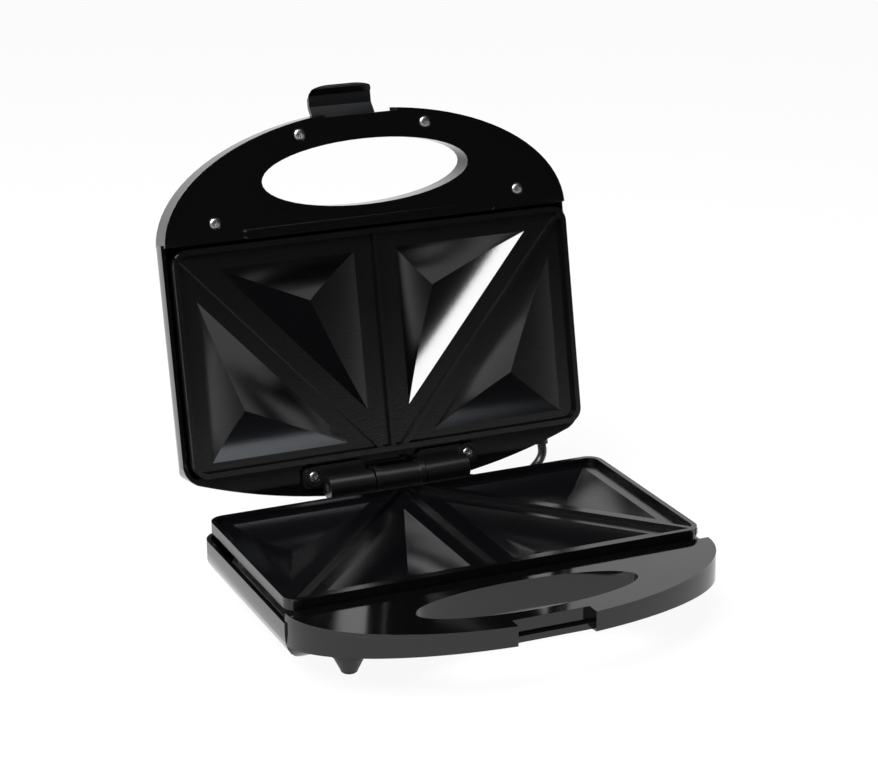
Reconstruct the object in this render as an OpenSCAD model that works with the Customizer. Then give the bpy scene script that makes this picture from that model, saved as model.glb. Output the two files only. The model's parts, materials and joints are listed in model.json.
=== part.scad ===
// Sandwich toaster with two hinged halves, standing open. Each half is a moulded housing with a bow
// handle in front, a cast cooking plate with four three-sided pockets, and a heater rod behind it.
//
// Both halves are drawn in the same way: the hinge axis is the X axis, -Y points to the handles, and
// z is the distance from the plane where the halves meet. base_half() turns z downwards and lid_half()
// swings it up and open. The finished part stands on z = 0 with its middle over the origin.

/* [Cooking plates] */
// Width of a plate across its rim
plate_w = 220; // [205:1:235]
// Depth of a plate from its rear rim to its front rim
plate_d = 117.7; // [112:0.1:128]
// Corner radius of the rim
plate_corner_r = 8; // [4:0.5:12]
// Width of the raised rim
rim_w = 2.7; // [1.8:0.1:4]
// Height of the rim above the flat of the plate
rim_h = 3.2; // [2.4:0.1:4]
// Gap between the two rims when the lid is shut
rim_gap = 0.5; // [0.4:0.1:1.5]
// Thickness of the plate casting
plate_t = 2.4; // [1.8:0.1:3]
// Width of the sealing ribs
rib_w = 2.4; // [1.6:0.1:4]
// How far the ribs stay below the top of the rim
rib_below_rim = 0.6; // [0.3:0.1:2]
// Depth of a pocket below the flat of the plate
pocket_depth = 9.3; // [6:0.1:11]
// Radius of the hollow pocket walls
pocket_wall_r = 45; // [36:1:80]
// Distance from the plate's side edge to the outer pocket
pocket_to_side = 11.2; // [8:0.1:16]
// Distance from the plate's rear edge to the outer pocket
pocket_to_rear = 7.4; // [5:0.1:12]
// Distance from the plate's front edge to the inner pocket
pocket_to_front = 11.5; // [8:0.1:16]
// Distance from the middle of the plate to the inner pocket
pocket_to_middle = 11.7; // [11.2:0.1:16]
// Distance from a slanted rib's middle line to the pockets on each side of it
pocket_to_rib = 9.9; // [8:0.1:12]
// How far from the middle a slanted rib starts at the rear rim
rib_start_x = 6.9; // [5:0.1:9]

/* [Housings] */
// Wall thickness of the housings
wall = 2.2; // [1.8:0.1:2.6]
// Gap between the plate and the housing wall round it
plate_gap = 0.8; // [0.4:0.1:1.2]
// Depth of a housing from the hinge plane to its outside
body_depth = 35; // [33:0.5:42]
// Radius of the crown that rounds the outside of a housing
crown_r = 20; // [14:0.5:22]
// Distance from the hinge plane to the open edge of a housing
edge_z = 9.5; // [9:0.1:10.5]
// Radius of the housing's rear corners, seen from above
rear_corner_r = 12; // [8:0.5:16]
// Radius of the bowed rear edge
rear_bow_r = 320; // [280:5:420]
// How far the lid's rear edge reaches behind the hinge axis
lid_rear_y = 8.5; // [8.3:0.1:10]
// How far the base's rear edge reaches behind the hinge axis
base_rear_y = 6.3; // [4.5:0.1:6.4]
// Radius of the posts that carry the reflector
post_r = 4; // [3:0.1:5]
// Distance from a plate's front and rear edges to the posts
post_inset = 20; // [18:0.5:24]

/* [Handles] */
// Gap between the two handle covers when the lid is shut
handle_gap = 9.5; // [8:0.1:12]
// Thickness of a handle cover
cover_t = 1.8; // [1.4:0.1:2.4]
// How far the handle bow reaches in front of the body
bow_reach = 61; // [52:0.5:70]
// Distance from the hinge plane to the handle's outside, at its front
bow_front_z = 14.8; // [14.6:0.1:17]
// Distance from the hinge plane to the handle's outside, at the body
bow_root_z = 21.3; // [19:0.1:24]
// Length of the oval finger opening
grip_w = 115.2; // [100:0.2:124]
// Width of the oval finger opening
grip_d = 34; // [26:0.2:36]
// Distance from the body's front wall to the middle of the finger opening
grip_y = 28.7; // [25:0.1:31]
// Length of the raised bar beside the lid's plate
bar_l = 140; // [120:1:150]
// Height of the raised bar
bar_h = 2.2; // [1.4:0.1:2.8]
// Depth of the raised bar from front to rear
bar_d = 4.6; // [3:0.1:6]

/* [Latch] */
// Width of the notch in the front of both handles
notch_w = 40; // [36:0.5:46]
// Depth of the notch in the base handle
base_notch_d = 8; // [7:0.1:9]
// Depth of the notch in the lid's handle cover
lid_notch_d = 2.4; // [2:0.1:3]
// Width of the latch
latch_w = 35; // [30:0.5:38]
// Thickness of the latch's curved arm
latch_t = 2.6; // [2:0.1:3]
// Radius of the latch's barrel
latch_barrel_r = 3.6; // [3:0.1:3.8]
// Diameter of the latch pin
latch_pin_d = 3; // [2:0.1:3.4]
// Distance from the handle's front to the latch pin
latch_pin_y = 9.3; // [9:0.1:10]
// Distance from the hinge plane to the latch pin
latch_pin_z = 12; // [11.6:0.1:12.4]
// How far the latch swings from hooked to fully open
latch_swing = 131; // [90:1:134]
// Depth of the catch ledge at the foot of the base notch
catch_d = 2.6; // [2:0.1:3]
// Height of the catch ledge
catch_h = 2.6; // [1.6:0.1:3]

/* [Hinge] */
// Angle between the halves when the lid stands open
open_angle = 101; // [90:1:103]
// How far the cooking plates start in front of the hinge axis
hinge_to_plate = 13.8; // [13:0.1:18]
// Outer radius of the hinge knuckles
knuckle_r = 6.5; // [5.5:0.1:7]
// Diameter of the hinge pin
hinge_pin_d = 4; // [3:0.1:5]
// Length of the base's middle knuckle
mid_knuckle_l = 28; // [20:0.5:36]
// Gap between knuckles that turn on each other
knuckle_gap = 0.7; // [0.4:0.1:1.2]
// Distance from the middle of the hinge to the outer end of a lid knuckle
knuckle_end_x = 39.5; // [36:0.5:44]
// Thickness of the bracket feet on the housings
bracket_t = 2.8; // [2:0.1:3]
// Distance from the middle to each of the lid bracket's screws
bracket_screw_x = 43.8; // [43:0.1:50]

/* [Feet] */
// Height of a foot
foot_h = 9.5; // [6:0.1:14]
// Radius of a foot where it meets the base
foot_top_r = 8.2; // [7:0.1:9]
// Radius of a foot near its tip
foot_tip_r = 4.4; // [3:0.1:6]
// Distance from the middle to each foot
foot_x = 78; // [60:0.5:85]
// Distance from the body's front wall to the front feet
foot_front_y = 8.5; // [8:0.5:14.5]
// Distance from the hinge axis to the rear feet
foot_rear_y = 19; // [17:0.5:19]

/* [Heating parts] */
// Diameter of a heater rod
heater_d = 6.6; // [5:0.1:7]
// Distance between the two long runs of a heater rod
heater_run = 52.7; // [48:0.1:56]
// Half the length of a heater's straight runs
heater_half_l = 62; // [50:1:66]
// Thickness of a reflector sheet
reflector_t = 0.8; // [0.5:0.1:1.2]
// Height of a reflector's turned-up edge
reflector_edge = 4; // [2:0.1:5]
// Diameter of the thermostat
thermostat_d = 15; // [10:0.1:16]
// Diameter of an indicator lens
lens_d = 6.4; // [4:0.1:10]
// Distance between the two indicator lenses
lens_gap = 18; // [12:0.5:30]
// Distance from the body's front wall to the indicator lenses
lens_y = 30.5; // [26.5:0.5:44.5]

/* [Screws] */
// Shank diameter of the screws
screw_d = 2.8; // [2:0.1:3.2]
// Head diameter of the screws
head_d = 5.6; // [4.6:0.1:6.4]
// Head height of the screws
head_h = 1.5; // [1:0.1:2]
// Shank length of the screws that hold the plates
plate_screw_l = 8; // [6:0.1:9]
// Shank length of the screws in the lid's handle cover
cover_screw_l = 6.8; // [5:0.1:7]
// Shank length of the screws in the lid's hinge bracket
bracket_screw_l = 6; // [5:0.1:7]

/* [Cords] */
// Diameter of both leads
cord_d = 4.8; // [4:0.1:5]
// Diameter of the glands where the leads pass through the housings
gland_d = 7; // [6.4:0.1:7.2]
// Distance from the middle to the mains gland
mains_x = 94; // [90:0.5:96]
// Distance from the middle to the link lead's gland in the base
link_base_x = 78; // [70:0.5:80]
// Distance from the middle to the link lead's gland in the lid
link_lid_x = 91; // [89:0.5:92]
// Distance from the hinge plane to the middle of the link lead's glands
gland_z = 13.5; // [13.2:0.1:14]
// Distance from the hinge plane to the middle of the mains gland
mains_z = 18; // [17.5:0.1:18.5]

/* [Hidden] */
$fn = 48;

fit = 0.05;        // radial clearance of pins in their bores
seat = 0.3;        // clearance between loose neighbours
bow_step = 0.8;    // how far the handle's ends stand in from the body's sides
reach = 300;       // longer than the part, for cutting tools

// heights, as distances from the hinge plane
rim_z = rim_gap / 2;
flat_z = rim_z + rim_h;
skirt_z = flat_z + plate_t;
cover_z = handle_gap / 2;
tray_z = cover_z + cover_t;
deck_in_z = edge_z + wall;
floor_z = body_depth - wall;
axis_h = body_depth + foot_h;

// plan, with the handle at -Y
plate_rear = -hinge_to_plate;
plate_front = plate_rear - plate_d;
body_hw = plate_w / 2 + plate_gap + wall;
body_in_front = plate_front - plate_gap;
body_front = body_in_front - wall;
bow_front = body_in_front - bow_reach;
deck_front = plate_rear + plate_gap;
grip_mid = body_in_front - grip_y;
block_t = wall + 1;
bow_tilt = atan((bow_root_z - bow_front_z) / bow_reach);

function arc(cx, cy, r, a0, a1, n) =
    [for (i = [0:n]) let (a = a0 + (a1 - a0) * i / n) [cx + r * cos(a), cy + r * sin(a)]];
function oval(cx, cy, a, b, a0, a1, n) =
    [for (i = [0:n]) let (t = a0 + (a1 - a0) * i / n) [cx + a * cos(t), cy + b * sin(t)]];
function round_box(x0, y0, x1, y1, r, n) = concat(
    arc(x1 - r, y0 + r, r, -90, 0, n), arc(x1 - r, y1 - r, r, 0, 90, n),
    arc(x0 + r, y1 - r, r, 90, 180, n), arc(x0 + r, y0 + r, r, 180, 270, n));

// how a point of the lid, given as [y, z], stands when the lid is open
function opened(p) = [p[0] * cos(open_angle) + p[1] * sin(open_angle),
    p[1] * cos(open_angle) - p[0] * sin(open_angle)];
function turned(p, a) = [p[0] * cos(a) - p[1] * sin(a), p[0] * sin(a) + p[1] * cos(a)];

// the latch's arm is a chain of rounded links, hooked, measured from its pin as [y, z]
latch_out = latch_pin_y + 2.2;
latch_chain = [[0, 0], [2 - latch_out, -2], [-latch_out, -12], [1 - latch_out, -24], [5.5 - latch_out, -29],
    [-1.5, -29.5]];
latch_hub = [bow_front + latch_pin_y, latch_pin_z];
latch_at_rest = [for (p = latch_chain) opened(latch_hub + turned(p, -latch_swing))];
rear_y = max([for (p = latch_at_rest) p[0] + latch_t / 2]);
mid_y = (bow_front + rear_y) / 2;

// the leads' own routes, from the hinge axis
mains_route = [[94, 14, -18], [94, 24, -18.8], [94, 34, -22.2], [93.6, 44, -27.5], [92.6, 54, -33],
    [90.6, 64, -38], [86.8, 73.5, -41], [81, 82, -42], [73.5, 88.6, -42.1], [65, 92.8, -42.1],
    [56, 94.6, -42], [47, 95, -41.5], [39, 95, -41.3]];
coil_mid = [34, 62];
coil_r = 33;
coil_turns = 3.5;
coil_lift = 0.8;
tail_route = [[38.8, 29, -35.7], [46, 29, -36], [54, 29, -37], [59.6, 29, -37.7]];
link_route = [[78, -0.7, -13.5], [78.6, 3, -13.5], [80.8, 7.6, -13.3], [84.8, 11.2, -12.3],
    [89, 12.8, -9.8], [91, 13.1, -6.4], [91.3, 13.2, -3.4], [91, 13.6, -0.75]];
layer_step = cord_d + 0.6;
table_z = -axis_h;

module base_half() translate([0, -mid_y, axis_h]) mirror([0, 0, 1]) children();
module lid_half() translate([0, -mid_y, axis_h]) rotate([-open_angle, 0, 0]) children();
module from_hinge() translate([0, -mid_y, axis_h]) children();
module both_sides() { children(); mirror([1, 0, 0]) children(); }
module slab(z0, z1, points) translate([0, 0, z0]) linear_extrude(height = z1 - z0) polygon(points);
module rod(x0, x1, r) translate([x0, 0, 0]) rotate([0, 90, 0]) cylinder(r = r, h = x1 - x0);

// ---------------------------------------------------------------- housings

// a block with rounded edges along its sides, its front and its bowed rear, moved in by i
function crown_edge(edge, i, z0, depth, s) = let (r = crown_r - i)
    [for (p = arc(edge - i - r, depth - r, r, 0, 90, 7)) [s * p[0], p[1]]];
module crowned(i, rear, z0, depth) let (side = crown_edge(body_hw, i, z0, depth, 1), r = crown_r - i,
    left = [for (k = [7:-1:0]) [-side[k][0], side[k][1]]], front = crown_edge(-body_front, i, z0, depth, -1),
    back = crown_edge(rear_bow_r, i, z0, depth, 1)) intersection() {
    rotate([90, 0, 0]) translate([0, 0, -reach]) linear_extrude(height = 2 * reach)
        polygon(concat([[body_hw - i, z0]], side, left, [[-body_hw + i, z0]]));
    rotate([90, 0, 90]) translate([0, 0, -reach]) linear_extrude(height = 2 * reach)
        polygon(concat([[body_front + i, z0]], front, [[reach, depth], [reach, z0]]));
    translate([0, rear - rear_bow_r, 0]) rotate_extrude()
        polygon(concat([[0, z0], [rear_bow_r - i, z0]], back, [[0, depth]]));
    translate([0, 0, z0 - 1]) linear_extrude(height = depth + 2) polygon(corner_cut(i, rear));
}
// the plan of the rounded rear corners, with every other side standing clear of the housing
function corner_cut(i, rear) = let (big = rear_bow_r - i, r = max(rear_corner_r - i, 2), cx = body_hw - i - r,
    cy = rear - rear_bow_r + sqrt(pow(big - r, 2) - cx * cx), a = atan2(cx, cy - rear + rear_bow_r),
    round = arc(cx, cy, r, 9, 81 - a, 5), n = len(round) - 1, u = round[0] - round[1], v = round[n] - round[n - 1],
    right = concat([round[0] + u * 4], round, [round[n] + v / norm(v) * 70]))
    concat([[reach, body_front - 5], [reach, right[0][1]]], right, [for (k = [n + 2:-1:0]) [-right[k][0], right[k][1]]],
        [[-reach, right[0][1]], [-reach, body_front - 5]]);

// everything on the near side of the handle's slanted outside face, moved in by d
module under_bow(d) translate([0, bow_front, bow_front_z - d]) rotate([bow_tilt, 0, 0])
    translate([-reach / 2, -reach / 2, -reach]) cube([reach, reach, reach]);

function bow_outline(i, back) = let (a = body_hw - bow_step - i, b = bow_reach - i,
    t = asin((body_in_front - back) / b))
    oval(0, body_in_front, a, b, 180 + t, 360 - t, 48);
function grip_outline(i) = oval(0, grip_mid, grip_w / 2 + i, grip_d / 2 + i, 0, 352.5, 47);

cover_screw_spots = [[35, bow_front + 9.9], [84.7, bow_front + 50.4]];
module at_cover_screws() both_sides() for (p = cover_screw_spots) translate([p[0], p[1], 0]) children();

// the handle's hollow underside, with a block of the given depth round the latch notch
module handle_tray(block_d) difference() {
    intersection() { slab(tray_z, body_depth, bow_outline(0, body_in_front - 0.6)); under_bow(0); }
    difference() {
        intersection() {
            slab(cover_z, body_depth, bow_outline(wall, body_front + 0.7));
            under_bow(wall);
        }
        slab(0, body_depth, grip_outline(wall));
        at_cover_screws() cylinder(r = head_d / 2 + 1.4, h = body_depth);
        translate([-notch_w / 2 - block_t, bow_front, 0]) cube([notch_w + 2 * block_t, block_d, body_depth]);
    }
}

reflector_in_z = flat_z + pocket_depth + plate_t + heater_d + 2.6;
reflector_out_z = reflector_in_z + reflector_t;
post_spots = [[88, plate_rear - post_inset], [88, plate_front + post_inset]];
module shell_body(rear, block_d) {
    difference() {
        union() { crowned(0, rear, edge_z, body_depth); handle_tray(block_d); }
        crowned(wall, rear, 0, floor_z);
        slab(0, body_depth, grip_outline(0));
    }
    intersection() {
        crowned(wall / 2, rear, edge_z, body_depth);
        translate([-reach, deck_front, 0]) cube([2 * reach, reach, deck_in_z]);
    }
    both_sides() for (p = post_spots) translate([p[0], p[1], reflector_out_z])
        cylinder(r = post_r, h = floor_z - reflector_out_z + wall / 2);
}

function rear_edge(x, rear) = rear - rear_bow_r + sqrt(pow(rear_bow_r, 2) - x * x);
module gland_hole(x, rear, z) translate([x, rear_edge(x, rear) - 3 * wall, z]) rotate([-90, 0, 0])
    cylinder(r = gland_d / 2 + fit, h = 6 * wall);

module foot_spots() {
    translate([-foot_x, body_front + foot_front_y, 0]) children(0);
    translate([foot_x, body_front + foot_front_y, 0]) children(0);
    translate([-foot_x, -foot_rear_y, 0]) children(0);
    translate([foot_x, -foot_rear_y, 0]) children(0);
}

foot_boss_h = 9;
foot_screw_l = foot_h - 4;
catch_top_z = bow_front_z - catch_h;
latch_room = latch_pin_y + latch_barrel_r + 3 * seat;
module base_shell() color([0.05, 0.05, 0.05]) base_half() difference() {
    union() {
        shell_body(base_rear_y, base_notch_d + wall);
        foot_spots() translate([0, 0, body_depth - foot_boss_h]) cylinder(r = foot_top_r + 0.6, h = foot_boss_h);
    }
    foot_spots() translate([0, 0, body_depth - foot_boss_h - 1]) cylinder(r = screw_d / 2 + 0.2, h = foot_boss_h + 2);
    translate([-notch_w / 2, bow_front - 5, 0]) cube([notch_w, base_notch_d + 5, catch_top_z]);
    translate([-notch_w / 2, bow_front - 5, 0]) cube([notch_w, base_notch_d - catch_d + 5, body_depth]);
    at_cover_screws() cylinder(r = screw_d / 2 + 0.2, h = body_depth);
    at_cover_screws() translate([0, 0, bow_front_z - 1.4]) cylinder(r = head_d / 2 + 0.3, h = 12);
    for (x = [-1, 1]) translate([x * mid_knuckle_l * 0.3, bracket_screw_y, edge_z - 1])
        cylinder(r = screw_d / 2 + 0.2, h = wall + 2);
    gland_hole(mains_x, base_rear_y, mains_z);
    gland_hole(link_base_x, base_rear_y, gland_z);
}

module lid_shell() color([0.05, 0.05, 0.05]) lid_half() difference() {
    shell_body(lid_rear_y, latch_room + wall);
    translate([-notch_w / 2, bow_front - 5, 0])
        cube([notch_w, latch_room + 5, body_depth]);
    translate([0, latch_hub[0], latch_hub[1]]) rod(-latch_pin_l / 2, latch_pin_l / 2, latch_pin_d / 2 + fit);
    at_cover_screws() cylinder(r = screw_d / 2, h = bow_front_z - wall);
    both_sides() translate([bracket_screw_x, bracket_screw_y, edge_z - 1])
        cylinder(r = screw_d / 2, h = wall + 2);
    gland_hole(link_lid_x, lid_rear_y, gland_z);
    for (x = [-1, 1]) translate([x * lens_gap / 2, body_front + lens_y, floor_z - 1])
        cylinder(r = lens_d / 2 + fit, h = wall + 2);
}

// ---------------------------------------------------------------- handle covers

module cover_plate(notch_d) difference() {
    slab(cover_z, tray_z, bow_outline(0, body_front + wall / 2));
    slab(0, body_depth, grip_outline(0));
    translate([-notch_w / 2, bow_front - 5, 0]) cube([notch_w, notch_d + 5, body_depth]);
}

module base_handle_cover() color([0.06, 0.06, 0.06]) base_half() {
    difference() {
        cover_plate(base_notch_d);
        at_cover_screws() translate([0, 0, cover_z + 0.8]) cylinder(r = screw_d / 2, h = 5);
    }
}

module lid_handle_cover() color([0.06, 0.06, 0.06]) lid_half() difference() {
    union() {
        cover_plate(lid_notch_d);
        slab(cover_z - bar_h, cover_z + 0.2,
            round_box(-bar_l / 2, body_front - bar_d + 1, bar_l / 2, body_front + 1, 1.6, 4));
    }
    at_cover_screws() {
        cylinder(r = screw_d / 2 + 0.2, h = body_depth);
        translate([0, 0, cover_z - 1]) cylinder(r = head_d / 2 + 0.5, h = 1.8);
    }
}

// ---------------------------------------------------------------- cooking plates

rib_end = [plate_w / 2 - rim_w, plate_front + rim_w];
rib_start = [rib_start_x, plate_rear - rim_w];
rib_dir = (rib_end - rib_start) / norm(rib_end - rib_start);
rib_side = [-rib_dir[1], rib_dir[0]];
// where the line parallel to the rib, at offset d, reaches a given x or y
function rib_at_x(x, d) = let (p = rib_start + rib_side * d, t = (x - p[0]) / rib_dir[0]) p + rib_dir * t;
function rib_at_y(y, d) = let (p = rib_start + rib_side * d, t = (y - p[1]) / rib_dir[1]) p + rib_dir * t;
outer_x = plate_w / 2 - pocket_to_side;
outer_y = plate_rear - pocket_to_rear;
inner_x = pocket_to_middle;
inner_y = plate_front + pocket_to_front;
outer_pocket = [[outer_x, outer_y], rib_at_y(outer_y, pocket_to_rib), rib_at_x(outer_x, pocket_to_rib)];
inner_pocket = [[inner_x, inner_y], rib_at_y(inner_y, -pocket_to_rib), rib_at_x(inner_x, -pocket_to_rib)];

function inradius(t) = let (a = norm(t[1] - t[0]), b = norm(t[2] - t[0]), c = norm(t[2] - t[1])) (a + b - c) / 2;
// each wall is part of a cylinder through the pocket's edge and its deepest point
function wall_axis(t) = let (s = inradius(t), chord = norm([s, pocket_depth]),
    up = sqrt(pow(pocket_wall_r, 2) - chord * chord / 4))
    [s / 2 + up * pocket_depth / chord, -pocket_depth / 2 + up * s / chord];

// a pocket is what lies inside all three of its walls
module pocket(t, grow, z0) let (ax = wall_axis(t), mid = (t[0] + t[1] + t[2]) / 3)
    intersection_for (i = [0:2]) let (p = t[i], q = t[(i + 1) % 3], d = (q - p) / norm(q - p), n0 = [-d[1], d[0]],
        side = (mid - p) * n0 > 0 ? 1 : -1)
        translate([p[0], p[1], flat_z]) rotate([0, 0, atan2(d[1], d[0])]) intersection() {
            union() {
                translate([norm(q - p) / 2, side * ax[0], -ax[1]]) rotate([0, 90, 0])
                    cylinder(r = pocket_wall_r + grow, h = 180, center = true, $fn = 180);
                translate([-50, side > 0 ? ax[0] - 3.5 : -ax[0] + 3.5 - 90, -20]) cube([200, 90, 36]);
            }
            translate([-60, -120, z0 - flat_z]) cube([240, 240, 30]);
        }
module pocket_prism(t) slab(flat_z - 1, body_depth, t);

boss_spots = [[0, plate_rear - 19.5], [50, rib_at_x(50, 0)[1]], [-50, rib_at_x(50, 0)[1]],
    [0, plate_front + 18]];
module at_bosses() for (p = boss_spots) translate([p[0], p[1], 0]) children();

module rib(p, q, ends) let (d = (q - p) / norm(q - p))
    translate([p[0], p[1], rim_z + rib_below_rim]) rotate([0, 0, atan2(d[1], d[0])])
        translate([-ends, -rib_w / 2, 0]) cube([norm(q - p) + 2 * ends, rib_w, flat_z - rim_z]);

module cooking_plate() difference() {
    union() {
        difference() {
            slab(rim_z, skirt_z, round_box(-plate_w / 2, plate_front, plate_w / 2, plate_rear, plate_corner_r, 8));
            slab(0, flat_z, round_box(-plate_w / 2 + rim_w, plate_front + rim_w, plate_w / 2 - rim_w,
                plate_rear - rim_w, plate_corner_r - rim_w, 8));
        }
        both_sides() rib(rib_start, rib_end, 0.8);
        rib([0, plate_rear - rim_w], [0, plate_front + rim_w], 0.8);
        both_sides() { pocket(outer_pocket, plate_t, flat_z + 1); pocket(inner_pocket, plate_t, flat_z + 1); }
        at_bosses() translate([0, 0, flat_z + 1]) cylinder(r = post_r - 0.6, h = reflector_in_z - flat_z - 1);
    }
    both_sides() for (t = [outer_pocket, inner_pocket]) intersection() {
        pocket(t, 0, flat_z - 1);
        pocket_prism(t);
    }
    at_bosses() translate([0, 0, reflector_in_z - 9]) cylinder(r = screw_d / 2, h = 12);
}
module base_plate() color([0.09, 0.09, 0.1]) base_half() cooking_plate();
module lid_plate() color([0.09, 0.09, 0.1]) lid_half() cooking_plate();

// ---------------------------------------------------------------- heaters and reflectors

heater_z = flat_z + pocket_depth + plate_t + heater_d / 2 + 0.1;
heater_mid_y = (plate_rear + plate_front) / 2 + 1.9;
module heater() translate([0, heater_mid_y, heater_z]) {
    for (s = [-1, 1]) translate([0, s * heater_run / 2, 0]) {
        rod(-heater_half_l - 24, heater_half_l, heater_d / 2);
        rod(-heater_half_l - 33, -heater_half_l - 24, 1.2);
    }
    translate([heater_half_l, 0, 0]) rotate([0, 0, -90]) rotate_extrude(angle = 180)
        translate([heater_run / 2, 0]) circle(r = heater_d / 2);
}
module base_heater() color([0.45, 0.43, 0.4]) base_half() heater();
module lid_heater() color([0.45, 0.43, 0.4]) lid_half() heater();

module reflector() let (x = plate_w / 2 - 8, y0 = plate_front + 9, y1 = plate_rear - 9) difference() {
    slab(reflector_in_z - reflector_edge, reflector_out_z, round_box(-x, y0, x, y1, 6, 5));
    slab(0, reflector_in_z, round_box(-x + reflector_t, y0 + reflector_t, x - reflector_t,
        y1 - reflector_t, 6 - reflector_t, 5));
    at_bosses() cylinder(r = screw_d / 2 + 0.2, h = body_depth);
}
module base_reflector() color([0.75, 0.75, 0.77]) base_half() reflector();
module lid_reflector() color([0.75, 0.75, 0.77]) lid_half() reflector();

// a screw whose head lies at z and whose shank runs towards +z
module screw(z, l) translate([0, 0, z]) {
    cylinder(r = head_d / 2, h = head_h);
    translate([0, 0, head_h - 0.2]) cylinder(r = screw_d / 2 - fit, h = l + 0.2);
}
module screw_up(z, l) translate([0, 0, z]) mirror([0, 0, 1]) screw(0, l);

module plate_screws() at_bosses() screw_up(reflector_out_z + head_h, plate_screw_l);
module base_plate_screws() color([0.7, 0.7, 0.72]) base_half() plate_screws();
module lid_plate_screws() color([0.7, 0.7, 0.72]) lid_half() plate_screws();
module lid_cover_screws() color([0.7, 0.7, 0.72]) lid_half()
    at_cover_screws() screw(cover_z + 0.8 - head_h, cover_screw_l);
module base_cover_screws() color([0.7, 0.7, 0.72]) base_half()
    at_cover_screws() screw_up(bow_front_z - 1.4 + head_h, bow_front_z - 1.4 - cover_z - 0.9);

module thermostat() color([0.8, 0.78, 0.7]) lid_half()
    translate([0, (plate_rear + plate_front) / 2, skirt_z]) {
        cylinder(r = thermostat_d / 2, h = 6);
        translate([0, 0, 5.9]) cylinder(r = thermostat_d / 2 - 2, h = 4);
        for (s = [-1, 1]) translate([s * 3 - 1, -2, 9.8]) cube([0.8, 4, 4]);
    }

module terminal_block() color([0.9, 0.88, 0.8]) base_half()
    translate([44, deck_front + 0.4, deck_in_z + seat]) difference() {
        cube([24, 7.4, 8]);
        for (i = [0:2]) translate([4 + 8 * i, -1, 4]) rotate([-90, 0, 0]) cylinder(r = 1.6, h = 11);
    }

// ---------------------------------------------------------------- hinge

bracket_screw_y = -5.6;
bracket_y0 = -10.8;
bracket_y1 = 0.8;
web_hw = 4.6;
foot_in_z = edge_z - bracket_t;
module knuckle(x0, x1) difference() {
    union() {
        rod(x0, x1, knuckle_r);
        translate([x0, -web_hw, 0]) cube([x1 - x0, 2 * web_hw, foot_in_z + 0.2]);
    }
    rod(x0 - 1, x1 + 1, hinge_pin_d / 2 + fit);
}

module base_hinge_bracket() color([0.05, 0.05, 0.05]) base_half() difference() {
    union() {
        knuckle(-mid_knuckle_l / 2, mid_knuckle_l / 2);
        for (s = [-1, 1]) translate([s * (mid_knuckle_l / 2 - 1.5) - 1.5, 0, 0]) difference() {
            rod(0, 3, knuckle_r + 0.9);
            rod(-1, 4, hinge_pin_d / 2 + fit);
        }
        translate([-mid_knuckle_l / 2, bracket_y0, foot_in_z]) cube([mid_knuckle_l, bracket_y1 - bracket_y0, bracket_t]);
    }
    for (x = [-1, 1]) translate([x * mid_knuckle_l * 0.3, bracket_screw_y, foot_in_z + 0.5])
        cylinder(r = screw_d / 2, h = bracket_t + 2);
}

module lid_hinge_bracket() color([0.05, 0.05, 0.05]) lid_half() difference() {
    union() {
        both_sides() knuckle(mid_knuckle_l / 2 + knuckle_gap, knuckle_end_x);
        both_sides() slab(foot_in_z, edge_z, round_box(mid_knuckle_l / 2 + knuckle_gap, bracket_y0,
            bracket_screw_x + 6, bracket_y1, 3, 5));
        both_sides() translate([bracket_screw_x, bracket_screw_y, foot_in_z - 1.2]) cylinder(r = 5.4, h = 1.4);
    }
    both_sides() translate([bracket_screw_x, bracket_screw_y, 0]) {
        cylinder(r = screw_d / 2 + 0.2, h = body_depth);
        cylinder(r = head_d / 2 + 0.3, h = foot_in_z);
    }
}

module hinge_pin() color([0.7, 0.7, 0.72]) base_half() rod(-knuckle_end_x, knuckle_end_x, hinge_pin_d / 2);
module lid_bracket_screws() color([0.7, 0.7, 0.72]) lid_half()
    both_sides() translate([bracket_screw_x, bracket_screw_y, 0]) screw(foot_in_z - head_h, bracket_screw_l);
module base_bracket_screws() color([0.7, 0.7, 0.72]) base_half()
    for (x = [-1, 1]) translate([x * mid_knuckle_l * 0.3, bracket_screw_y, 0])
        screw_up(deck_in_z + head_h, wall + bracket_t - 0.8);

// ---------------------------------------------------------------- feet

module foot() rotate_extrude() difference() {
    polygon(concat([[0, 0], [foot_top_r, 0], [foot_tip_r + 0.3, foot_h - 2.4]],
        arc(foot_tip_r - 2, foot_h - 2, 2, 0, 90, 5), [[0, foot_h]]));
    square([screw_d, 2 * foot_screw_l + 1], center = true);
}
module placed_foot(x, y) color([0.04, 0.04, 0.04]) base_half() translate([x, -y, body_depth]) foot();
module foot_front_left() placed_foot(-foot_x, -body_front - foot_front_y);
module foot_front_right() placed_foot(foot_x, -body_front - foot_front_y);
module foot_rear_left() placed_foot(-foot_x, foot_rear_y);
module foot_rear_right() placed_foot(foot_x, foot_rear_y);
module foot_screws() color([0.7, 0.7, 0.72]) base_half()
    foot_spots() screw(body_depth - foot_boss_h - head_h, foot_boss_h + foot_screw_l);

// ---------------------------------------------------------------- indicator lamps

module lens() {
    translate([0, 0, floor_z - 1]) cylinder(r = lens_d / 2 + 1, h = 1);
    translate([0, 0, floor_z - 0.1]) cylinder(r = lens_d / 2, h = wall + 0.3);
    translate([0, 0, body_depth + 0.2]) intersection() {
        translate([0, 0, -lens_d]) sphere(r = lens_d + 0.7);
        cylinder(r = lens_d / 2, h = 2);
    }
}
module power_lens() color([0.8, 0.08, 0.05]) lid_half() translate([-lens_gap / 2, body_front + lens_y, 0]) lens();
module ready_lens() color([0.1, 0.6, 0.15]) lid_half() translate([lens_gap / 2, body_front + lens_y, 0]) lens();
module lamp_holder() color([0.9, 0.9, 0.88]) lid_half() translate([-lens_gap / 2 - 6, body_front + lens_y - 5, floor_z - 5])
    cube([lens_gap + 12, 10, 4]);

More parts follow.
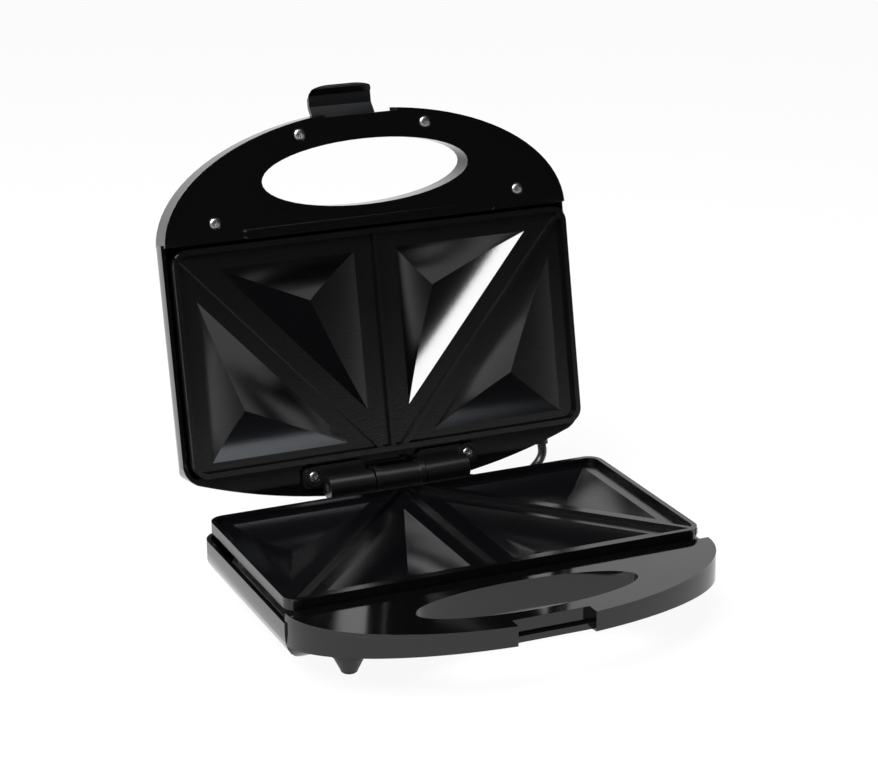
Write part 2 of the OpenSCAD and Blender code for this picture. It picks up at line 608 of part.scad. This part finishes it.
// ---------------------------------------------------------------- latch

latch_pin_l = notch_w + 2 * wall - 0.8;
module link(p, q, r0, r1) let (d = norm(q - p), a = atan2(q[1] - p[1], q[0] - p[0])) {
    translate(p) circle(r = r0);
    translate(q) circle(r = r1);
    translate(p) rotate(a) polygon([[0, -r0], [d, -r1], [d, r1], [0, r0]]);
}
module latch_section() for (i = [0:len(latch_chain) - 2])
    link(latch_chain[i], latch_chain[i + 1], i == 0 ? latch_t / 2 + 0.4 : latch_t / 2, latch_t / 2);

latch_foot = latch_chain[5][1] - latch_t / 2;
latch_bow_r = 55;
module latch_body() difference() {
    union() {
        intersection() {
            rotate([90, 0, 90]) translate([0, 0, -latch_w / 2]) linear_extrude(height = latch_w) latch_section();
            rotate([90, 0, 0]) translate([0, 0, -40]) linear_extrude(height = 80) intersection() {
                square([latch_w + 10, 120], center = true);
                translate([0, latch_foot + latch_bow_r]) circle(r = latch_bow_r, $fn = 160);
            }
        }
        rod(-latch_w / 2, latch_w / 2, latch_barrel_r);
    }
    rod(-latch_w, latch_w, latch_pin_d / 2 + fit);
}
module latch() color([0.07, 0.07, 0.07]) lid_half() translate([0, latch_hub[0], latch_hub[1]])
    rotate([-latch_swing, 0, 0]) latch_body();
module latch_pin() color([0.7, 0.7, 0.72]) lid_half() translate([0, latch_hub[0], latch_hub[1]])
    rod(-latch_pin_l / 2, latch_pin_l / 2, latch_pin_d / 2);

// ---------------------------------------------------------------- leads

// a tube of n sides swept along points
function unit(v) = v / norm(v);
function path_dir(p, i) = unit(p[min(i + 1, len(p) - 1)] - p[max(i - 1, 0)]);
module tube(p, r, n) {
    pts = [for (i = [0:len(p) - 1]) let (d = path_dir(p, i),
        u = unit(cross(d, abs(d[2]) < 0.9 ? [0, 0, 1] : [0, 1, 0])), v = cross(u, d))
        for (k = [0:n - 1]) p[i] + u * r * cos(360 * k / n) + v * r * sin(360 * k / n)];
    last = n * (len(p) - 1);
    sides = [for (i = [0:len(p) - 2]) for (k = [0:n - 1]) let (a = i * n + k, b = i * n + (k + 1) % n)
        each [[a, b, b + n], [a, b + n, a + n]]];
    ends = [for (k = [1:n - 2]) each [[0, k + 1, k], [last, last + k, last + k + 1]]];
    polyhedron(points = pts, faces = concat(sides, ends));
}

coil_pitch = layer_step;
coil_low = table_z + cord_d / 2 + coil_lift;
function coil_at(t) = let (h = coil_turns / 2, r = coil_r - coil_pitch * (h - abs(t - h)), a = 90 + 360 * t,
    up = min(max((t - h) * 2 + 0.5, 0), 1))
    [coil_mid[0] + r * cos(a), coil_mid[1] + r * sin(a), coil_low + layer_step * up];
coil_rings = 24;
coil_points = [for (i = [0:coil_turns * coil_rings]) coil_at(i / coil_rings)];
coil_path = concat([coil_points[0] + [cord_d, 0, 0]], coil_points,
    [coil_points[len(coil_points) - 1] + [cord_d, 0, 0]]);
coil_self_gap = min([for (i = [0:len(coil_points) - 1]) for (j = [i + coil_rings / 2:1:len(coil_points) - 1])
    norm(coil_points[i] - coil_points[j])]) - cord_d;
echo(least_gap_between_loops = coil_self_gap);

mains_flange_y = rear_edge(mains_x, base_rear_y) + 1.9;
module mains_gland() color([0.05, 0.05, 0.05]) from_hinge()
    translate([mains_x, mains_flange_y, -mains_z]) rotate([-90, 0, 0]) difference() {
        union() {
            translate([0, 0, -wall - 4]) cylinder(r = gland_d / 2, h = wall + 5);
            cylinder(r = gland_d / 2 + 1, h = 1.5);
            cylinder(r1 = gland_d / 2, r2 = cord_d / 2 + 0.6, h = mains_route[0][1] - mains_flange_y);
        }
        for (i = [0:3]) translate([0, 0, 4.4 + 3.6 * i]) difference() {
            cylinder(r = gland_d, h = 1.2);
            translate([0, 0, -1]) cylinder(r = cord_d / 2 + 0.1, h = 4);
        }
    }
module mains_lead() color([0.04, 0.04, 0.04]) from_hinge() tube(mains_route, cord_d / 2, 12);
module mains_coil() color([0.04, 0.04, 0.04]) from_hinge() tube(coil_path, cord_d / 2, 6);
module mains_tail() color([0.04, 0.04, 0.04]) from_hinge() tube(tail_route, cord_d / 2, 12);

tie_t = 0.7;
module cord_tie() color([0.1, 0.1, 0.1]) from_hinge()
    translate([coil_mid[0] - coil_r + 0.75 * coil_pitch, coil_mid[1], table_z]) difference() {
        translate([-layer_step - 1.2, -2, 0]) cube([2 * layer_step + 2.4, 4, 2 * layer_step + 1.8]);
        translate([-layer_step - 0.4, -3, tie_t]) cube([2 * layer_step + 0.8, 6, 2 * layer_step + 0.4]);
    }

plug_l = 34;
plug_w = 26;
plug_h = 13.6;
module plug() color([0.05, 0.05, 0.05]) from_hinge() translate([60, 29, table_z + plug_h / 2]) {
    translate([6, 0, -plug_h / 2]) linear_extrude(height = plug_h) polygon([[0, -4], [10, -5.4], [20, -plug_w / 2 + 2],
        [plug_l - 8, -plug_w / 2], [plug_l - 6, -plug_w / 2 + 2], [plug_l - 6, plug_w / 2 - 2],
        [plug_l - 8, plug_w / 2], [20, plug_w / 2 - 2], [10, 5.4], [0, 4]]);
    rod(0, 7, cord_d / 2 + 1.1);
}
module plug_pins() color([0.8, 0.8, 0.8]) from_hinge() translate([60 + plug_l, 29, table_z + plug_h / 2])
    for (s = [-1, 1]) translate([0, s * 9.5, 0]) rod(0, 19, 2);

module link_gland(rear) translate([0, rear - wall - 2, 0]) rotate([-90, 0, 0])
    cylinder(r = gland_d / 2, h = wall + 4.2);
module base_link_gland() color([0.05, 0.05, 0.05]) base_half() translate([link_base_x, 0, gland_z])
    link_gland(rear_edge(link_base_x, base_rear_y));
module lid_link_gland() color([0.05, 0.05, 0.05]) lid_half() translate([link_lid_x, 0, gland_z])
    link_gland(rear_edge(link_lid_x, lid_rear_y));
module link_lead() color([0.04, 0.04, 0.04]) from_hinge() tube(link_route, cord_d / 2, 12);

base_shell();
base_handle_cover();
base_cover_screws();
base_plate();
base_plate_screws();
base_heater();
base_reflector();
base_hinge_bracket();
base_bracket_screws();
hinge_pin();
foot_front_left();
foot_front_right();
foot_rear_left();
foot_rear_right();
foot_screws();
terminal_block();
mains_gland();
mains_lead();
mains_coil();
mains_tail();
cord_tie();
plug();
plug_pins();
base_link_gland();
link_lead();
lid_link_gland();
lid_shell();
lid_handle_cover();
lid_cover_screws();
lid_plate();
lid_plate_screws();
lid_heater();
lid_reflector();
lid_hinge_bracket();
lid_bracket_screws();
thermostat();
power_lens();
ready_lens();
lamp_holder();
latch_pin();
latch();
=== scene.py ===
import json
import math
import bmesh
import bpy
from mathutils import Matrix, Vector


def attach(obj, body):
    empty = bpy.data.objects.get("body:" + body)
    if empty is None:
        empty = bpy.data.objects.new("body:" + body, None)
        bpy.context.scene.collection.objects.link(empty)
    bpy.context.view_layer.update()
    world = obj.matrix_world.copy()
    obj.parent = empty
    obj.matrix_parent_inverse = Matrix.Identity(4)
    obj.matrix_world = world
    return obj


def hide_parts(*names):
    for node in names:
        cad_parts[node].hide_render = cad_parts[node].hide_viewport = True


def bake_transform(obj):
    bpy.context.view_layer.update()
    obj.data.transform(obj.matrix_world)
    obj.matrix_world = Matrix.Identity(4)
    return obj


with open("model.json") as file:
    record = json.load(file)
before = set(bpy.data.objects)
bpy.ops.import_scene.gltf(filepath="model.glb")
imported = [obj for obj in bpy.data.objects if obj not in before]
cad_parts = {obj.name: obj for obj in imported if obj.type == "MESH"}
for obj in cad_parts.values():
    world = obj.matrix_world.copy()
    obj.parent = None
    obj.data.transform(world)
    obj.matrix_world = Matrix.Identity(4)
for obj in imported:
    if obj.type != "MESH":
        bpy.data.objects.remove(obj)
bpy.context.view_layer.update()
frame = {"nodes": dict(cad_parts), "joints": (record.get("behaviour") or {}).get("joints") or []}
nodes = frame["nodes"]
joints = {joint["name"]: joint for joint in frame["joints"]}
mm = 0.001

# the lid's pieces are described as it lies shut: y to the rear, z away from the plane where the halves meet
hinge = Vector(joints["lid_hinge"]["pos_m"])
openAngle = math.radians(joints["lid_hinge"]["range_deg"][1])
fromHinge = Matrix.Translation(hinge)
lidPlace = fromHinge @ Matrix.Rotation(-openAngle, 4, "X")
print("frame loaded,", len(nodes), "nodes")

# the camera stands where the picture was taken from
cameraSet = {"place": (-0.4696, -1.0857, 0.5084), "turn": (71.5895, 0.5598, -23.5298), "lens": 102.73,
             "sensor": 36, "farthest": 20}
camera = bpy.data.objects.new("camera", bpy.data.cameras.new("camera"))
camera.location = cameraSet["place"]
camera.rotation_euler = [math.radians(a) for a in cameraSet["turn"]]
camera.data.lens = cameraSet["lens"]
camera.data.sensor_width = cameraSet["sensor"]
camera.data.clip_end = cameraSet["farthest"]
bpy.context.scene.collection.objects.link(camera)
bpy.context.scene.camera = camera


# shader building
def newMaterial(name, **sockets):
    material = bpy.data.materials.new(name)
    material.use_nodes = True
    shader = material.node_tree.nodes["Principled BSDF"]
    for socket, value in sockets.items():
        shader.inputs[socket.replace("_", " ")].default_value = value
    return material, material.node_tree, shader


def newGroup(name, inputs, outputs):
    group = bpy.data.node_groups.new(name, "ShaderNodeTree")
    for socket, kind, value in inputs:
        made = group.interface.new_socket(socket, in_out="INPUT", socket_type=kind)
        made.default_value = value
    for socket, kind in outputs:
        group.interface.new_socket(socket, in_out="OUTPUT", socket_type=kind)
    return group, group.nodes.new("NodeGroupInput"), group.nodes.new("NodeGroupOutput")


def mathNode(tree, operation, *values):
    node = tree.nodes.new("ShaderNodeMath")
    node.operation = operation
    for i, value in enumerate(values):
        if isinstance(value, (int, float)):
            node.inputs[i].default_value = value
        else:
            tree.links.new(value, node.inputs[i])
    return node.outputs[0]


def noiseNode(tree, vector, scale, detail=2.0, roughness=0.5):
    node = tree.nodes.new("ShaderNodeTexNoise")
    tree.links.new(vector, node.inputs["Vector"])
    for name, value in (("Scale", scale), ("Detail", detail), ("Roughness", roughness)):
        if isinstance(value, (int, float)):
            node.inputs[name].default_value = value
        else:
            tree.links.new(value, node.inputs[name])
    return node.outputs["Fac"]


def placeGroup(tree, group, **values):
    node = tree.nodes.new("ShaderNodeGroup")
    node.node_tree = group
    for name, value in values.items():
        node.inputs[name].default_value = value
    tree.links.new(tree.nodes.new("ShaderNodeTexCoord").outputs["Object"], node.inputs["position"])
    return node


def bumpFrom(tree, height, shader, distance, strength=1.0):
    bump = tree.nodes.new("ShaderNodeBump")
    bump.inputs["Distance"].default_value = distance
    bump.inputs["Strength"].default_value = strength
    tree.links.new(height, bump.inputs["Height"])
    tree.links.new(bump.outputs["Normal"], shader.inputs["Normal"])


# moulded plastic: a fine surface grain, slow waves from shrinking, and a patchy handling haze
moulded, start, end = newGroup("mouldedSurface", [
    ("position", "NodeSocketVector", (0, 0, 0)), ("grainScale", "NodeSocketFloat", 900.0),
    ("grainDepth", "NodeSocketFloat", 0.3), ("waveScale", "NodeSocketFloat", 14.0),
    ("waveDepth", "NodeSocketFloat", 0.5), ("gloss", "NodeSocketFloat", 0.15),
    ("haze", "NodeSocketFloat", 0.08)], [("height", "NodeSocketFloat"), ("roughness", "NodeSocketFloat")])
grain = noiseNode(moulded, start.outputs["position"], start.outputs["grainScale"], 3.0, 0.6)
waves = noiseNode(moulded, start.outputs["position"], start.outputs["waveScale"], 1.0, 0.4)
patches = noiseNode(moulded, start.outputs["position"], 32.0, 4.0, 0.65)
both = mathNode(moulded, "ADD", mathNode(moulded, "MULTIPLY", grain, start.outputs["grainDepth"]),
                mathNode(moulded, "MULTIPLY", waves, start.outputs["waveDepth"]))
moulded.links.new(both, end.inputs["height"])
moulded.links.new(mathNode(moulded, "ADD", start.outputs["gloss"],
                           mathNode(moulded, "MULTIPLY", patches, start.outputs["haze"])),
                  end.inputs["roughness"])

# fine lighter flecks in the plates' baked coating
speckled, start, end = newGroup("coatingSpeckle", [
    ("position", "NodeSocketVector", (0, 0, 0)), ("size", "NodeSocketFloat", 1500.0),
    ("amount", "NodeSocketFloat", 0.3)], [("mask", "NodeSocketFloat"), ("height", "NodeSocketFloat")])
fleck = noiseNode(speckled, start.outputs["position"], start.outputs["size"], 2.0, 0.7)
raised = speckled.nodes.new("ShaderNodeMapRange")
fleckRange = {"From Min": 0.62, "From Max": 0.75}
for socket, value in fleckRange.items():
    raised.inputs[socket].default_value = value
speckled.links.new(fleck, raised.inputs["Value"])
speckled.links.new(mathNode(speckled, "MULTIPLY", raised.outputs["Result"], start.outputs["amount"]),
                   end.inputs["mask"])
speckled.links.new(fleck, end.inputs["height"])


def plasticMaterial(name, colour, grainScale, grainDepth, waveDepth, gloss, haze, distance, coat=0.0,
                    coatRough=0.05):
    material, tree, shader = newMaterial(name, Base_Color=(*colour, 1), Coat_Weight=coat,
                                         Coat_Roughness=coatRough)
    surface = placeGroup(tree, moulded, grainScale=grainScale, grainDepth=grainDepth, waveDepth=waveDepth,
                         gloss=gloss, haze=haze)
    tree.links.new(surface.outputs["roughness"], shader.inputs["Roughness"])
    bumpFrom(tree, surface.outputs["height"], shader, distance)
    return material


glossBlack = plasticMaterial("glossBlack", (0.0009, 0.0009, 0.0010), 700, 0.05, 0.8, 0.06, 0.04, 0.00008)
coverBlack = plasticMaterial("coverBlack", (0.0009, 0.0009, 0.0010), 1100, 0.2, 0.6, 0.09, 0.05, 0.00006)
latchBlack = plasticMaterial("latchBlack", (0.0015, 0.0015, 0.0016), 1300, 0.5, 0.3, 0.22, 0.10, 0.00006)
bracketBlack = plasticMaterial("bracketBlack", (0.0012, 0.0012, 0.0013), 1300, 0.5, 0.3, 0.24, 0.10, 0.00006)
footRubber = plasticMaterial("footRubber", (0.0018, 0.0018, 0.0018), 1600, 0.8, 0.3, 0.45, 0.15, 0.0001)
cordRubber = plasticMaterial("cordRubber", (0.002, 0.002, 0.0021), 1500, 0.6, 0.4, 0.33, 0.14, 0.0001)
tieBlack = plasticMaterial("tieBlack", (0.01, 0.01, 0.01), 900, 0.6, 0.3, 0.4, 0.12, 0.00006)
whitePlastic = plasticMaterial("whitePlastic", (0.74, 0.72, 0.66), 900, 0.5, 0.4, 0.42, 0.12, 0.00006)
redLens = plasticMaterial("redLens", (0.55, 0.012, 0.01), 500, 0.1, 0.5, 0.08, 0.05, 0.00005, 0.5)
greenLens = plasticMaterial("greenLens", (0.02, 0.30, 0.05), 500, 0.1, 0.5, 0.08, 0.05, 0.00005, 0.5)


def metalMaterial(name, colour, roughness, grainScale, stretch, depth):
    material, tree, shader = newMaterial(name, Base_Color=(*colour, 1), Metallic=1.0)
    position = tree.nodes.new("ShaderNodeTexCoord").outputs["Object"]
    mapping = tree.nodes.new("ShaderNodeMapping")
    mapping.inputs["Scale"].default_value = stretch
    tree.links.new(position, mapping.inputs["Vector"])
    lines = noiseNode(tree, mapping.outputs["Vector"], grainScale, 3.0, 0.6)
    patches = noiseNode(tree, position, 60.0, 3.0, 0.6)
    rough = mathNode(tree, "ADD", roughness, mathNode(tree, "MULTIPLY", patches, 0.18))
    tree.links.new(rough, shader.inputs["Roughness"])
    bumpFrom(tree, lines, shader, depth)
    return material


screwSteel = metalMaterial("screwSteel", (0.24, 0.24, 0.25), 0.22, 2500, (1, 1, 1), 0.00002)
pinSteel = metalMaterial("pinSteel", (0.60, 0.60, 0.62), 0.18, 900, (0.05, 1, 1), 0.00003)
heaterSteel = metalMaterial("heaterSteel", (0.33, 0.31, 0.29), 0.38, 700, (0.1, 1, 1), 0.00006)
sheetMetal = metalMaterial("sheetMetal", (0.74, 0.74, 0.76), 0.24, 500, (0.04, 1, 1), 0.00004)
platedPins = metalMaterial("platedPins", (0.78, 0.78, 0.80), 0.14, 900, (0.05, 1, 1), 0.00002)

# the plates' baked coating: nearly black, satin, with a fine cast texture and faint lighter flecks
coating, tree, shader = newMaterial("coating")
speckle = placeGroup(tree, speckled, size=1700, amount=0.35)
surface = placeGroup(tree, moulded, grainScale=1200, grainDepth=0.4, waveDepth=0.5, gloss=0.14, haze=0.06)
mix = tree.nodes.new("ShaderNodeMix")
mix.data_type = "RGBA"
mix.inputs["A"].default_value = (0.0008, 0.0008, 0.0010, 1)
mix.inputs["B"].default_value = (0.0035, 0.0035, 0.0040, 1)
tree.links.new(speckle.outputs["mask"], mix.inputs["Factor"])
tree.links.new(mix.outputs["Result"], shader.inputs["Base Color"])
tree.links.new(surface.outputs["roughness"], shader.inputs["Roughness"])
bumpFrom(tree, surface.outputs["height"], shader, 0.00009)
print("materials made")


# mesh helpers
def newObject(name, bm, material, place=None):
    mesh = bpy.data.meshes.new(name)
    if place is not None:
        bm.transform(place)
    bm.to_mesh(mesh)
    bm.free()
    mesh.materials.append(material)
    mesh.polygons.foreach_set("use_smooth", [True] * len(mesh.polygons))
    piece = bpy.data.objects.new(name, mesh)
    bpy.context.scene.collection.objects.link(piece)
    return piece


edgeSet = {"weld": 0.000004, "faceWeight": 80}


def dress(name, material, width=0.0, angle=32, segments=2):
    node = nodes[name]
    node.data.materials.clear()
    node.data.materials.append(material)
    node.data.polygons.foreach_set("material_index", [0] * len(node.data.polygons))
    node.data.polygons.foreach_set("use_smooth", [True] * len(node.data.polygons))
    weld = node.modifiers.new("weld", "WELD")
    weld.merge_threshold = edgeSet["weld"]
    if width:
        bevel = node.modifiers.new("edges", "BEVEL")
        bevel.width = width * mm
        bevel.segments = segments
        bevel.limit_method = "ANGLE"
        bevel.angle_limit = math.radians(angle)
        bevel.use_clamp_overlap = True
        bevel.miter_outer = "MITER_ARC"
        bevel.harden_normals = False
    weighted = node.modifiers.new("shade", "WEIGHTED_NORMAL")
    weighted.keep_sharp = True
    weighted.weight = edgeSet["faceWeight"]
    return node


# the carried-over solids get their finish and their softened edges
finishes = {
    "base_shell": (glossBlack, 0.7), "lid_shell": (glossBlack, 0.7),
    "base_handle_cover": (glossBlack, 0.35), "lid_handle_cover": (coverBlack, 0.35),
    "base_plate": (coating, 0.6, 8, 3), "lid_plate": (coating, 0.6, 8, 3),
    "base_hinge_bracket": (bracketBlack, 0.5), "lid_hinge_bracket": (bracketBlack, 0.5),
    "base_cover_screws": (screwSteel, 0.2), "base_plate_screws": (screwSteel, 0.2),
    "lid_plate_screws": (screwSteel, 0.2), "base_bracket_screws": (screwSteel, 0.2),
    "foot_screws": (screwSteel, 0.2),
    "base_heater": (heaterSteel, 0), "lid_heater": (heaterSteel, 0), "base_reflector": (sheetMetal, 0.2),
    "lid_reflector": (sheetMetal, 0.2), "hinge_pin": (pinSteel, 0.3), "latch_pin": (pinSteel, 0.2),
    "foot_front_left": (footRubber, 0.4), "foot_front_right": (footRubber, 0.4),
    "foot_rear_left": (footRubber, 0.4), "foot_rear_right": (footRubber, 0.4),
    "terminal_block": (whitePlastic, 0.4), "lamp_holder": (whitePlastic, 0.4),
    "thermostat": (whitePlastic, 0.3), "mains_gland": (cordRubber, 0.25),
    "base_link_gland": (cordRubber, 0.4), "lid_link_gland": (cordRubber, 0.4),
    "cord_tie": (tieBlack, 0.15), "plug": (cordRubber, 1.2), "plug_pins": (platedPins, 0.5),
    "power_lens": (redLens, 0.1), "ready_lens": (greenLens, 0.1), "latch": (latchBlack, 0.5),
}
for name, finish in finishes.items():
    dress(name, *finish)
print("solids dressed")


# leads
def makeCord(name, points, radius, material):
    curve = bpy.data.curves.new(name, "CURVE")
    curve.dimensions = "3D"
    curve.bevel_depth = radius
    curve.bevel_resolution = 4
    curve.use_fill_caps = True
    curve.resolution_u = 4
    spline = curve.splines.new("NURBS")
    spline.points.add(len(points) - 1)
    for point, place in zip(spline.points, points):
        point.co = (*place, 1)
    spline.order_u = 3
    spline.use_endpoint_u = True
    curve.materials.append(material)
    piece = bpy.data.objects.new(name, curve)
    bpy.context.scene.collection.objects.link(piece)
    return piece


mains = {
    "diameter": 4.8,
    "route": [(94, 14, -18), (94, 24, -18.8), (94, 34, -22.2), (93.6, 44, -27.5), (92.6, 54, -33),
              (90.6, 64, -38), (86.8, 73.5, -41), (81, 82, -42), (73.5, 88.6, -42.1), (65, 92.8, -42.1),
              (56, 94.6, -42),
              (47, 95, -41.5), (39, 95, -41.3)],
    "coilMiddle": (34, 62), "coilRadius": 33, "turns": 3.5, "pitch": 5.4, "low": -41.3, "ringsPerTurn": 24,
    "tail": [(46, 29, -36), (54, 29, -37), (59.6, 29, -37.7)],
}


def coilPoint(turn, s=mains):
    half = s["turns"] / 2
    radius = s["coilRadius"] - s["pitch"] * (half - abs(turn - half))
    angle = math.radians(90 + 360 * turn)
    up = min(max((turn - half) * 2 + 0.5, 0), 1)
    return (s["coilMiddle"][0] + radius * math.cos(angle), s["coilMiddle"][1] + radius * math.sin(angle),
            s["low"] + s["pitch"] * up)


coil = [coilPoint(i / mains["ringsPerTurn"]) for i in range(int(mains["turns"] * mains["ringsPerTurn"]) + 1)]
mainsLine = [hinge + Vector(p) * mm for p in mains["route"] + coil + mains["tail"]]
mainsLead = makeCord("mainsLead", mainsLine, mains["diameter"] / 2 * mm, cordRubber)
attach(mainsLead, "base")
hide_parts("mains_lead", "mains_coil", "mains_tail")

link = {
    "diameter": 4.8,
    "route": [(78, -0.7, -13.5), (78.2, 1, -13.5), (78.6, 3, -13.5), (80.8, 7.6, -13.3), (84.8, 11.2, -12.3),
              (89, 12.8, -9.8), (91, 13.1, -6.4), (91.3, 13.2, -3.4), (91.1, 13.45, -1.9), (91, 13.6, -0.75)],
}


def sweepTube(name, points, radius, material, sides=16):
    curve = makeCord(name + "Line", points, radius, material)
    evaluated = curve.evaluated_get(bpy.context.evaluated_depsgraph_get())
    mesh = bpy.data.meshes.new_from_object(evaluated)
    bpy.data.objects.remove(curve)
    bm = bmesh.new()
    bm.from_mesh(mesh)
    bmesh.ops.remove_doubles(bm, verts=bm.verts, dist=0.000005)
    bmesh.ops.recalc_face_normals(bm, faces=bm.faces)
    return newObject(name, bm, material)


linkLine = [hinge + Vector(p) * mm for p in link["route"]]
linkLead = sweepTube("linkLead", linkLine, link["diameter"] / 2 * mm, cordRubber)
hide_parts("link_lead")
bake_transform(linkLead)
print("link lead made")

# screws with a cross recess
screw = {"radius": 2.8, "height": 1.5, "shank": 1.35, "slotWidth": 0.9, "slotLength": 3.4, "slotDepth": 1.05,
         "edge": 0.00008, "edgeAngle": 35, "turns": 40}


def crossScrew(shankLength, s=screw):
    bm = bmesh.new()
    outline = [(0, 0), (s["radius"] * 0.55, 0.02), (s["radius"] * 0.85, 0.22), (s["radius"], 0.62),
               (s["radius"], s["height"]), (s["shank"], s["height"]), (s["shank"], s["height"] + shankLength),
               (0, s["height"] + shankLength)]
    ring = [bm.verts.new((r, 0, z)) for r, z in outline]
    for a, b in zip(ring, ring[1:]):
        bm.edges.new((a, b))
    bmesh.ops.spin(bm, geom=list(bm.verts) + list(bm.edges), cent=(0, 0, 0), axis=(0, 0, 1), dvec=(0, 0, 0),
                   angle=2 * math.pi, steps=s["turns"], use_merge=True)
    bmesh.ops.remove_doubles(bm, verts=bm.verts, dist=0.0005)
    bmesh.ops.recalc_face_normals(bm, faces=bm.faces)
    head = newObject("screwHead", bm, screwSteel)
    bm = bmesh.new()
    for turn in (0, 90):
        arm = bmesh.ops.create_cone(bm, segments=4, radius1=1, radius2=0.45, depth=1, cap_ends=True)["verts"]
        bmesh.ops.rotate(bm, verts=arm, cent=(0, 0, 0), matrix=Matrix.Rotation(math.pi / 4, 3, "Z"))
        bmesh.ops.scale(bm, verts=arm, vec=(s["slotLength"] / math.sqrt(2), s["slotWidth"] / math.sqrt(2),
                                            2 * s["slotDepth"]))
        bmesh.ops.rotate(bm, verts=arm, cent=(0, 0, 0), matrix=Matrix.Rotation(math.radians(turn), 3, "Z"))
    cutter = newObject("screwCutter", bm, screwSteel)
    cut = head.modifiers.new("recess", "BOOLEAN")
    cut.operation = "DIFFERENCE"
    cut.solver = "EXACT"
    cut.use_self = True
    cut.object = cutter
    made = bpy.data.meshes.new_from_object(head.evaluated_get(bpy.context.evaluated_depsgraph_get()))
    bpy.data.objects.remove(head)
    bpy.data.objects.remove(cutter)
    return made


def setScrews(name, node, places, shankLength, body):
    one = crossScrew(shankLength)
    bm = bmesh.new()
    for place, turn in places:
        before = len(bm.verts)
        bm.from_mesh(one)
        bm.verts.ensure_lookup_table()
        new = bm.verts[before:]
        bmesh.ops.rotate(bm, verts=new, cent=(0, 0, 0), matrix=Matrix.Rotation(math.radians(turn), 3, "Z"))
        bmesh.ops.translate(bm, verts=new, vec=place)
    bmesh.ops.scale(bm, verts=bm.verts, vec=(mm, mm, mm))
    bmesh.ops.remove_doubles(bm, verts=bm.verts, dist=0.000002)
    piece = newObject(name, bm, screwSteel, lidPlace)
    edges = piece.modifiers.new("edges", "BEVEL")
    edges.width = screw["edge"]
    edges.segments = 2
    edges.limit_method = "ANGLE"
    edges.angle_limit = math.radians(screw["edgeAngle"])
    piece.modifiers.new("shade", "WEIGHTED_NORMAL")
    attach(piece, body)
    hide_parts(node)


# each place is followed by the turn of its cross recess
lidScrews = {
    "cover": {"shank": 6.8, "places": [((35, -183.4, 4.05), 12), ((-35, -183.4, 4.05), 38),
                                       ((84.7, -142.9, 4.05), 66), ((-84.7, -142.9, 4.05), 24)]},
    "bracket": {"shank": 6, "places": [((43.8, -5.6, 5.2), 30), ((-43.8, -5.6, 5.2), 75)]},
}
for name, s in lidScrews.items():
    setScrews(name + "Screws", "lid_" + name + "_screws", s["places"], s["shank"], "lid")
print("screws made")

# floor, backdrop and light
floorSet = {"size": 12.0, "white": 0.36, "shown": 0.86, "glow": 1.08}
bm = bmesh.new()
bmesh.ops.create_grid(bm, x_segments=2, y_segments=2, size=floorSet["size"])
material, tree, shader = newMaterial("floorPaper", Base_Color=(floorSet["white"],) * 3 + (1,), Roughness=0.7)
glow = tree.nodes.new("ShaderNodeEmission")
glow.inputs["Strength"].default_value = floorSet["glow"]
mixer = tree.nodes.new("ShaderNodeMixShader")
seen = tree.nodes.new("ShaderNodeLightPath")
mirrored = mathNode(tree, "MAXIMUM", seen.outputs["Is Glossy Ray"], seen.outputs["Is Transmission Ray"])
direct = mathNode(tree, "MAXIMUM", seen.outputs["Is Camera Ray"], mirrored)
tree.links.new(mathNode(tree, "MULTIPLY", direct, floorSet["shown"]), mixer.inputs["Fac"])
tree.links.new(shader.outputs["BSDF"], mixer.inputs[1])
tree.links.new(glow.outputs["Emission"], mixer.inputs[2])
tree.links.new(mixer.outputs["Shader"], tree.nodes["Material Output"].inputs["Surface"])
newObject("floor", bm, material)

# a white wall stands low behind the object, and the room is dark above it and in front;
# every ray sees the same
room = {"dark": 0.02, "wall": 1.0, "from": 0.05, "to": 0.45, "wallTop": 0.35, "darkAbove": 0.62}
world = bpy.data.worlds.new("studio")
bpy.context.scene.world = world
world.use_nodes = True
tree = world.node_tree
light = tree.nodes["Background"]
light.inputs["Color"].default_value = (1, 1, 1, 1)
split = tree.nodes.new("ShaderNodeSeparateXYZ")
tree.links.new(tree.nodes.new("ShaderNodeTexCoord").outputs["Generated"], split.inputs[0])
behind = tree.nodes.new("ShaderNodeMapRange")
behind.interpolation_type = "SMOOTHSTEP"
tree.links.new(split.outputs["Y"], behind.inputs["Value"])
for socket, value in (("From Min", room["from"]), ("From Max", room["to"]), ("To Min", room["dark"]),
                      ("To Max", room["wall"])):
    behind.inputs[socket].default_value = value
low = tree.nodes.new("ShaderNodeMapRange")
low.interpolation_type = "SMOOTHSTEP"
tree.links.new(split.outputs["Z"], low.inputs["Value"])
for socket, value in (("From Min", room["wallTop"]), ("From Max", room["darkAbove"]),
                      ("To Min", 1.0), ("To Max", 0.0)):
    low.inputs[socket].default_value = value
wall = mathNode(tree, "MULTIPLY", behind.outputs["Result"], low.outputs["Result"])
tree.links.new(mathNode(tree, "MAXIMUM", wall, room["dark"]), light.inputs["Strength"])

lamps = {
    "left": {"place": (-0.72, -0.62, 1.25), "aim": (0, 0, 0.1), "size": (1.15, 1.05), "power": 94,
             "tint": (1, 1, 1)},
    "top": {"place": (0.15, -0.55, 1.5), "aim": (0, 0, 0.1), "size": (0.9, 0.7), "power": 5,
            "tint": (0.86, 0.92, 1)},
}
for name, s in lamps.items():
    lamp = bpy.data.lights.new(name, "AREA")
    lamp.shape = "RECTANGLE"
    lamp.size, lamp.size_y = s["size"]
    lamp.energy = s["power"]
    lamp.color = s["tint"]
    holder = bpy.data.objects.new(name, lamp)
    holder.location = s["place"]
    holder.rotation_euler = (Vector(s["aim"]) - Vector(s["place"])).to_track_quat("-Z", "Y").to_euler()
    bpy.context.scene.collection.objects.link(holder)
bpy.context.scene.view_settings.view_transform = "Standard"
print("studio lit")
